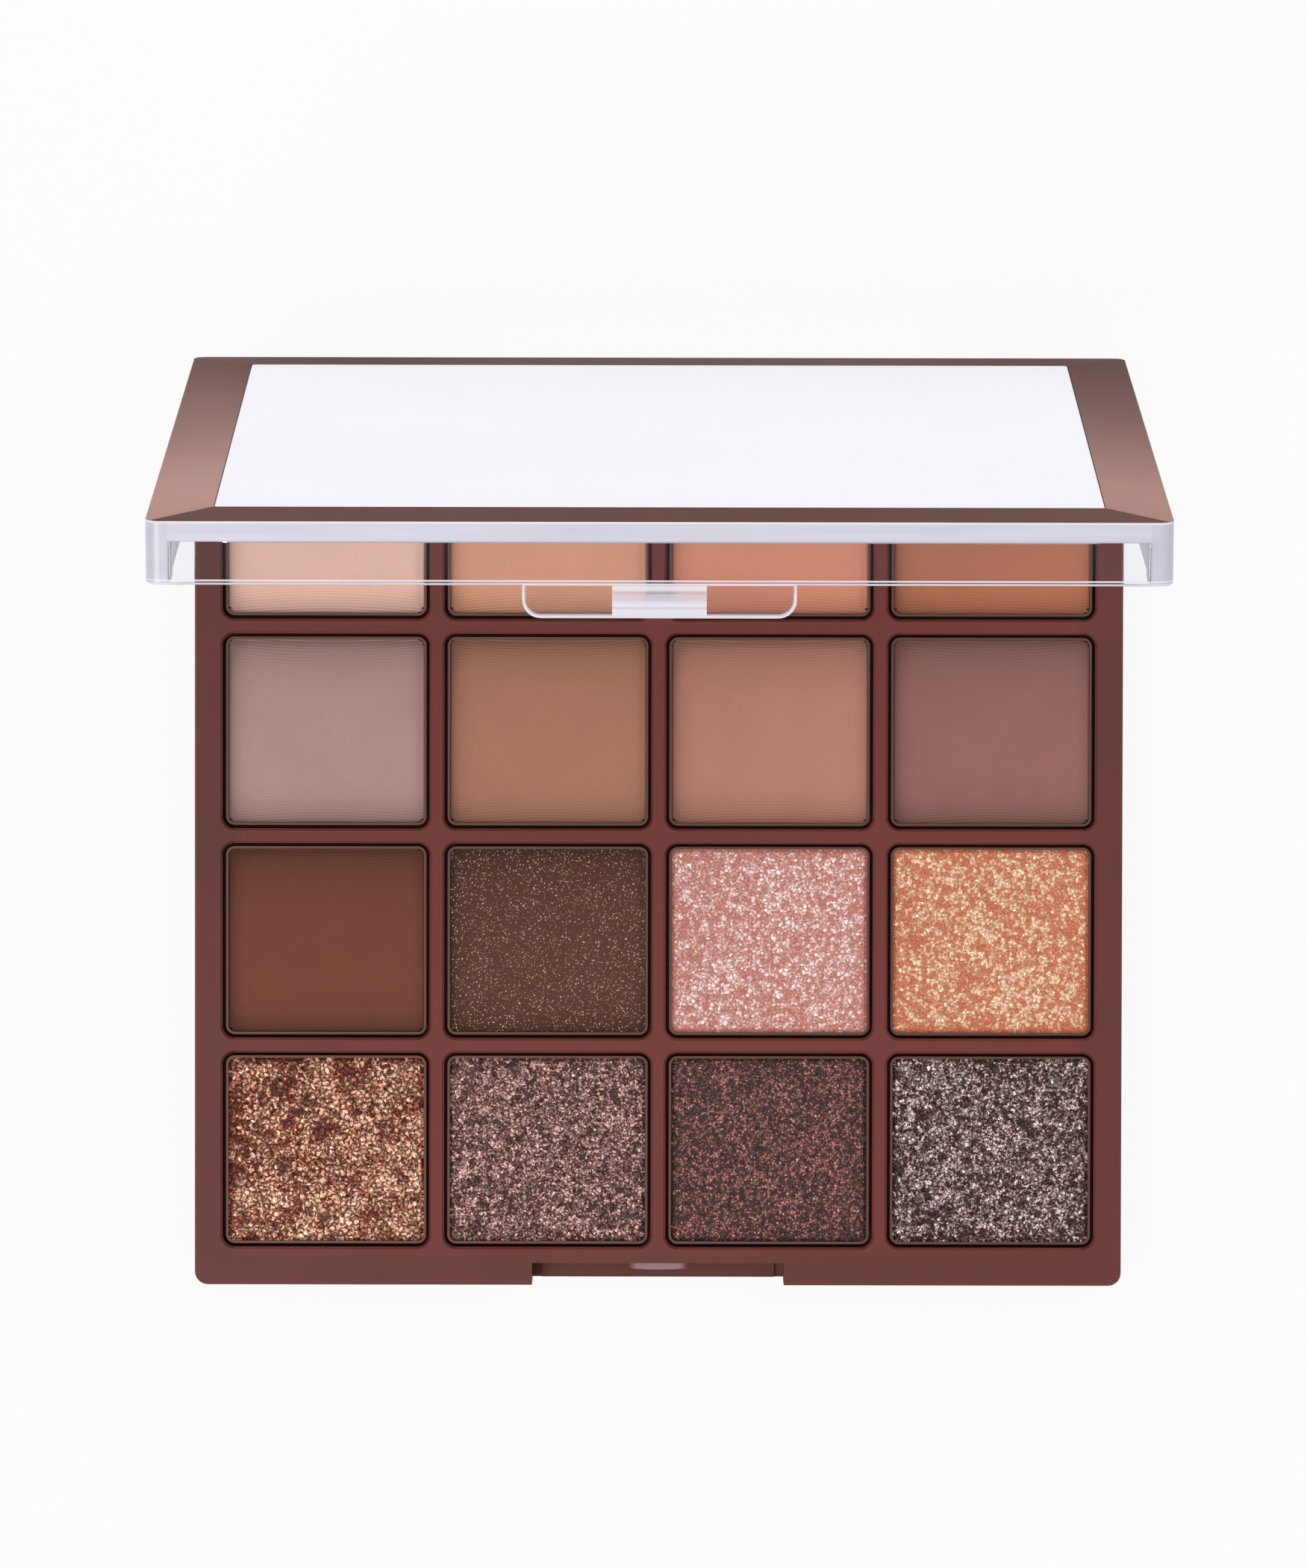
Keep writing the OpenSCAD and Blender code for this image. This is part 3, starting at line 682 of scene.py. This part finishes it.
def press_grains(x, y, inset, rng, recipe):
    """Relief of a metallic cake: crumpled crumbs with crevices of uneven width between them. Its channels
    say how light each spot is, and how much painted shade its crevices get."""
    size = recipe["grain"]
    warp = recipe["warp"] * size
    wx = x + warp * (layered(x, y, size * WARP_SIZE, rng) - 0.5)
    wy = y + warp * (layered(x, y, size * WARP_SIZE, rng) - 0.5)
    first, second, offset, chance = scattered_cells(wx, wy, size, rng)
    width = recipe["crack"] * (0.35 + 1.3 * layered(x, y, size * WIDEN_SIZE, rng, octaves=2))
    crack = 1 - smooth_steps((second - first) / width)
    folds = layered(wx, wy, size * FOLD_SIZE, rng, octaves=2, folds=True)
    patch = layered(x, y, recipe["patch"], rng)
    fine = soft_noise(x, y, FINE_SIZE, rng)
    slope = (chance[..., 0] - 0.5) * offset[..., 0] + (chance[..., 1] - 0.5) * offset[..., 1]
    crumbs = SLOPE * slope + STEP * (chance[..., 2] - 0.5) - DOME * first ** 2
    relief = recipe["depth"] * (crumbs - CREVICE * crack + FOLDS * (folds - 0.4))
    relief += recipe["rough"] * (rng.random(x.shape) - 0.5)
    relief -= worn_edge(inset, recipe)
    level = 0.5 + recipe["lift"] + recipe["vary"] * (chance[..., 3] - 0.5) + recipe["blotch"] * (patch - 0.5)
    # Painted light and shade: the folds are painted lighter on their heaps and darker in their valleys
    level += recipe["fold"] * (folds - 0.38) + recipe["fine"] * (fine - 0.5)
    level += recipe["lean"] * (x - y) / LEAN_OVER - recipe["ring"] * np.exp(-inset / RING_W)
    grain = np.stack([np.clip(level, 0, 1), recipe["open"] * crack, np.zeros(x.shape)], -1)
    # The relief fades out at the very edge
    return relief * smooth_steps(inset / 0.2 + 0.4), grain


# ---------------------------------------------------------------- powder meshes

def rounded_grid(half_w, half_d, radius, step):
    """Points all over a rounded rectangle. Those in its corners are drawn in onto the round corner."""
    columns, rows = (round(2 * half / size) for half, size in zip((half_w, half_d), step))
    across, along = np.linspace(-half_w, half_w, columns + 1), np.linspace(-half_d, half_d, rows + 1)
    x, y = np.meshgrid(across, along, indexing="ij")
    qx, qy = corner_offset(x, y, half_w, half_d, radius)
    far = np.hypot(np.maximum(qx, 0), np.maximum(qy, 0))
    pull = np.where((qx > 0) & (qy > 0) & (far > 0), np.maximum(qx, qy) / np.maximum(far, 1e-9), 1.0)
    x = np.where(pull < 1, np.sign(x) * (half_w - radius + qx * pull), x)
    y = np.where(pull < 1, np.sign(y) * (half_d - radius + qy * pull), y)
    return x, y


def cake_faces(top):
    """Triangles that close a cake, and its top's outline. top numbers its grid of points; a point below
    each point of the outline follows them, and then the middle of the underside."""
    a, b, c, d = (part.ravel() for part in (top[:-1, :-1], top[1:, :-1], top[1:, 1:], top[:-1, 1:]))
    squares = (top.shape[0] - 1, top.shape[1] - 1)
    # Every other square is cut along its other diagonal
    flip = (np.indices(squares).sum(0) % 2).ravel().astype(bool)[:, None]
    one = np.where(flip, np.stack([a, b, c], -1), np.stack([a, b, d], -1))
    two = np.where(flip, np.stack([a, c, d], -1), np.stack([b, c, d], -1))
    outline = np.concatenate([top[:, 0], top[-1, 1:], top[-2::-1, -1], top[0, -2:0:-1]])
    ring = top.size + np.arange(len(outline))
    centre = np.full(len(ring), top.size + len(ring))
    outline_next, ring_next = np.roll(outline, -1), np.roll(ring, -1)
    around = ((outline, ring, ring_next), (outline, ring_next, outline_next), (ring, centre, ring_next))
    return np.vstack([one, two] + [np.stack(corners, -1) for corners in around]), outline


def mesh_of(name, points, faces):
    """A mesh from points in millimetres and triangles."""
    mesh = bpy.data.meshes.new(name)
    mesh.vertices.add(len(points))
    mesh.vertices.foreach_set("co", (points * MM).ravel())
    mesh.loops.add(faces.size)
    mesh.loops.foreach_set("vertex_index", faces.ravel())
    mesh.polygons.add(len(faces))
    mesh.polygons.foreach_set("loop_start", np.arange(0, faces.size, 3))
    mesh.update(calc_edges=True)
    mesh.validate()
    return mesh


def powder_cake(name, low, high, seed, recipe):
    """A cake that fills the box from low to high: a pressed top, upright sides and a flat bottom."""
    rng = np.random.default_rng(seed)
    middle = (low + high) / 2
    half_w, half_d, _ = (high - low) / 2
    x, y = rounded_grid(half_w, half_d, recipe["corner"], recipe["step"])
    inset = rounded_inset(x, y, half_w, half_d, recipe["corner"])
    relief, grain = recipe["relief"](x, y, inset, rng, recipe)
    z = high[2] - recipe["sink"] + np.minimum(relief, recipe["sink"])
    top = np.stack([x + middle[0], y + middle[1], z], -1).reshape(-1, 3)
    faces, outline = cake_faces(np.arange(x.size).reshape(x.shape))
    under = top[outline].copy()
    under[:, 2] = low[2]
    points = np.vstack([top, under, [[middle[0], middle[1], low[2]]]])
    mesh = mesh_of(name, points, faces)
    colours = np.ones((len(points), 4))
    colours[:, :3] = 0.5
    colours[:len(top), :3] = grain.reshape(-1, 3)
    mesh.attributes.new("grain", "FLOAT_COLOR", "POINT").data.foreach_set("color", colours.ravel())
    if recipe["smooth"]:
        mesh.shade_smooth()
    else:
        mesh.shade_flat()
    piece = bpy.data.objects.new(name, mesh)
    bpy.context.scene.collection.objects.link(piece)
    return piece


# ---------------------------------------------------------------- the sixteen shades

# A matte cake: lengths in millimetres, with the spacing of its points across and along it
CLOTH = dict(
    relief=press_cloth, step=(0.25, 0.07), corner=0.68, sink=0.03, smooth=True,
    ridge=0.02, pitch=0.32, edge_depth=0.25, edge_width=1.3,
)
SPARKLES = dict(
    CLOTH, relief=strew_sparkles, step=(0.085, 0.085), speck_pitch=0.22, speck_size=0.22, speck_share=0.95,
)


def grains(size, depth, **more):
    """A metallic cake: size and depth of its crumbs in millimetres, how wide its crevices are and how dark
    their painted shade, how its crumbs are warped, and how its light varies by crumb, patch, fold, whose
    light and shade are painted, and speck."""
    usual = dict(
        relief=press_grains, step=(0.09, 0.09), corner=0.68, sink=0.05, smooth=False,
        edge_depth=0.2, edge_width=0.6, rough=0.01, crack=0.5, open=1.0, warp=0.75,
        vary=0.9, patch=1.0, blotch=0.9, fold=1.7, fine=1.0, lift=0.0, lean=0.0, ring=0.3,
    )
    return dict(usual, grain=size, depth=depth, **more)


PINK = grains(
    0.42, 0.06, crack=0.34, blotch=0.2, vary=0.8, fine=0.5, fold=0.9, open=0.9, ring=0.5, lift=-0.03,
)
ORANGE = grains(
    0.42, 0.06, crack=0.32, patch=0.8, blotch=0.6, vary=1.0, fine=0.6, fold=0.9, open=0.6, ring=0.5,
    lift=-0.04,
)
COPPER = grains(
    0.56, 0.14, crack=0.46, warp=1.4, patch=1.8, blotch=1.5, fold=1.4, fine=0.7, lift=0.24, lean=0.35,
)
MAUVE = grains(0.38, 0.11, crack=0.48, warp=1.6, patch=1.2, blotch=0.8, vary=1.1, lift=0.18)
PLUM = grains(0.3, 0.07, blotch=0.1, fold=1.4, fine=0.8, open=0.9)
SLATE = grains(0.4, 0.13, warp=1.7, vary=1.0, lift=0.13)

# Colours are listed: a matte shade's own, with its specks', or a metallic shade's in crevices, and
# then dark, middle and bright
# A metallic shade's crevice colour is painted shade, and its bright colour, near white, is partly the
# crumbs' own and partly painted glints
SHADES = {
    "r1_c1": ("pale_peach", CLOTH, [(253, 201, 181)]),
    "r1_c2": ("apricot_tan", CLOTH, [(233, 165, 131)]),
    "r1_c3": ("salmon", CLOTH, [(228, 148, 118)]),
    "r1_c4": ("burnt_orange", CLOTH, [(183, 114, 84)]),
    "r2_c1": ("grey_taupe", CLOTH, [(184, 147, 138)]),
    "r2_c2": ("tan_brown", CLOTH, [(175, 123, 97)]),
    "r2_c3": ("rosy_brown", CLOTH, [(184, 128, 109)]),
    "r2_c4": ("mauve_brown", CLOTH, [(148, 102, 94)]),
    "r3_c1": ("red_brown", CLOTH, [(120, 70, 54)]),
    "r3_c2": ("dark_brown", SPARKLES, [(93, 57, 47), (255, 220, 178)]),
    "r3_c3": ("pink_glitter", PINK, [(178, 100, 84), (198, 130, 116), (220, 174, 162), (250, 226, 222)]),
    "r3_c4": ("orange_glitter", ORANGE, [(166, 74, 44), (202, 116, 80), (214, 153, 117), (246, 211, 175)]),
    "r4_c1": ("copper_glitter", COPPER, [(68, 20, 8), (108, 43, 22), (202, 116, 78), (255, 203, 170)]),
    "r4_c2": ("mauve_glitter", MAUVE, [(48, 26, 23), (78, 46, 41), (164, 108, 98), (242, 194, 184)]),
    "r4_c3": ("plum_shimmer", PLUM, [(34, 15, 13), (56, 26, 23), (108, 61, 55), (196, 128, 118)]),
    "r4_c4": ("slate_glitter", SLATE, [(34, 16, 12), (70, 41, 36), (140, 96, 88), (248, 222, 216)]),
}
FIRST_SEED = 100


def make_powders():
    for seed, (place, (shade, recipe, colours)) in enumerate(SHADES.items(), FIRST_SEED):
        node = f"powder_{place}"
        low, high = (np.array(corner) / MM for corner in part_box(node))
        piece = powder_cake(f"cake_{shade}", low, high, seed, recipe)
        finish = glitter_powder if recipe["relief"] is press_grains else matte_powder
        piece.data.materials.append(finish(f"powder_{shade}", *colours))
        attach(piece, "base")
        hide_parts(node)


# ---------------------------------------------------------------- CAD nodes

def soften(name, width_mm):
    """Rounds the sharp edges of a CAD node."""
    piece = NODES[name]
    weld = piece.modifiers.new("weld", "WELD")
    weld.merge_threshold = 0.0005 * MM
    bevel = piece.modifiers.new("rounded_edges", "BEVEL")
    bevel.width = width_mm * MM
    bevel.segments = 2
    bevel.limit_method = "ANGLE"
    bevel.angle_limit = math.radians(35)
    bevel.harden_normals = True
    bevel.use_clamp_overlap = True
    # Drops the empty faces that the bevel leaves where it runs out of room
    cleared = piece.modifiers.new("weld_rounded", "WELD")
    cleared.merge_threshold = 0.002 * MM


def dress_nodes():
    base = brown_plastic()
    for name in ("base_case", "pan_tray"):
        paint(name, base)
    paint("lid_frame", border_foil())
    paint("lid_shell", clear_plastic())
    paint("lid_panel", white_panel())
    paint("mirror", mirror_glass())
    paint("mirror_tape", plain_soft("tape", (225, 225, 225)))
    paint("pan_glue", plain_soft("glue", (230, 220, 190)))
    pan = metal("pan_metal", (106, 79, 71), 0.42, "Z")
    steel = metal("pin_steel", (170, 170, 174), 0.3, "X")
    for name in NODES:
        if name.startswith("pan_r"):
            paint(name, pan)
        elif name.startswith("hinge_pin"):
            paint(name, steel)
    soften("pan_tray", 0.15)
    soften("base_case", 0.2)


# ---------------------------------------------------------------- floor and light

# The painted shade in the floor behind the lid that only reflections see, which the lid's border mirrors:
# millimetres along Y, and how bright
MIRRORED = [
    (45, 1.0), (48, 0.2), (55, 0.24), (62, 0.46), (69, 0.83), (73, 0.85), (76.5, 0.2), (95, 0.2),
]
# The floor's half width and how far it lies below the part, and how much of its light is even glow
FLOOR_HALF, FLOOR_BELOW = 3.0, 0.05 * MM
FLOOR_GLOW = 0.93
# Light from all around
STUDIO_COLOUR, STUDIO_STRENGTH = (0.93, 0.94, 0.97, 1.0), 0.58
# Square lamps: place and width in metres, watts, and the point that they face
LAMPS = {
    "key": ((-0.35, -0.30, 0.75), 0.45, 3.3, (0, 0, 0.01)),
    "fill": ((0.40, 0.30, 0.60), 0.35, 1.2, (0, 0, 0.01)),
    "rear": ((0.0, 0.60, 0.14), 0.4, 1.3, (0, 0.04, 0.06)),
}


def floor_paint():
    s = Shader("floor_white")
    path = s.add("ShaderNodeLightPath").outputs
    # Painted reflection: reflections see painted shade on the floor close behind the lid, and a painted grey
    # farther off
    mirrored = s.maths("GREATER_THAN", path["Is Glossy Ray"], path["Is Transmission Ray"])
    seen = s.highest(path["Is Camera Ray"], path["Is Transmission Ray"])
    start, end = MIRRORED[0][0], MIRRORED[-1][0]
    _, y, _ = s.millimetres()
    shade = s.greys(s.span(y, start, end), [((at - start) / (end - start), grey) for at, grey in MIRRORED])
    s.put(s.bsdf, Base_Color=s.mix(mirrored, rgb(250, 250, 250), shade), Roughness=0.8)
    glow = s.put(s.add("ShaderNodeEmission"), Color=rgb(252, 252, 252))
    s.put(s.output, Surface=s.blend(s.product(seen, FLOOR_GLOW), s.bsdf.outputs[0], glow.outputs[0]))
    return s.material


def make_floor():
    mesh = bpy.data.meshes.new("floor")
    signs = ((-1, -1), (1, -1), (1, 1), (-1, 1))
    corners = [(x * FLOOR_HALF, y * FLOOR_HALF, -FLOOR_BELOW) for x, y in signs]
    mesh.from_pydata(corners, [], [(0, 1, 2, 3)])
    floor = bpy.data.objects.new("floor", mesh)
    mesh.materials.append(floor_paint())
    bpy.context.scene.collection.objects.link(floor)


def light_scene():
    scene = bpy.context.scene
    scene.view_settings.view_transform = "Standard"
    world = bpy.data.worlds.new("studio")
    scene.world = world
    world.use_nodes = True
    background = world.node_tree.nodes["Background"]
    background.inputs["Color"].default_value = STUDIO_COLOUR
    background.inputs["Strength"].default_value = STUDIO_STRENGTH
    for name, (at, size, power, aim) in LAMPS.items():
        data = bpy.data.lights.new(name, "AREA")
        data.shape, data.size, data.energy = "SQUARE", size, power
        lamp = bpy.data.objects.new(name, data)
        lamp.location = at
        lamp.rotation_euler = (Vector(aim) - Vector(at)).to_track_quat("-Z", "Y").to_euler()
        scene.collection.objects.link(lamp)


make_camera()
light_scene()
make_floor()
dress_nodes()
make_powders()
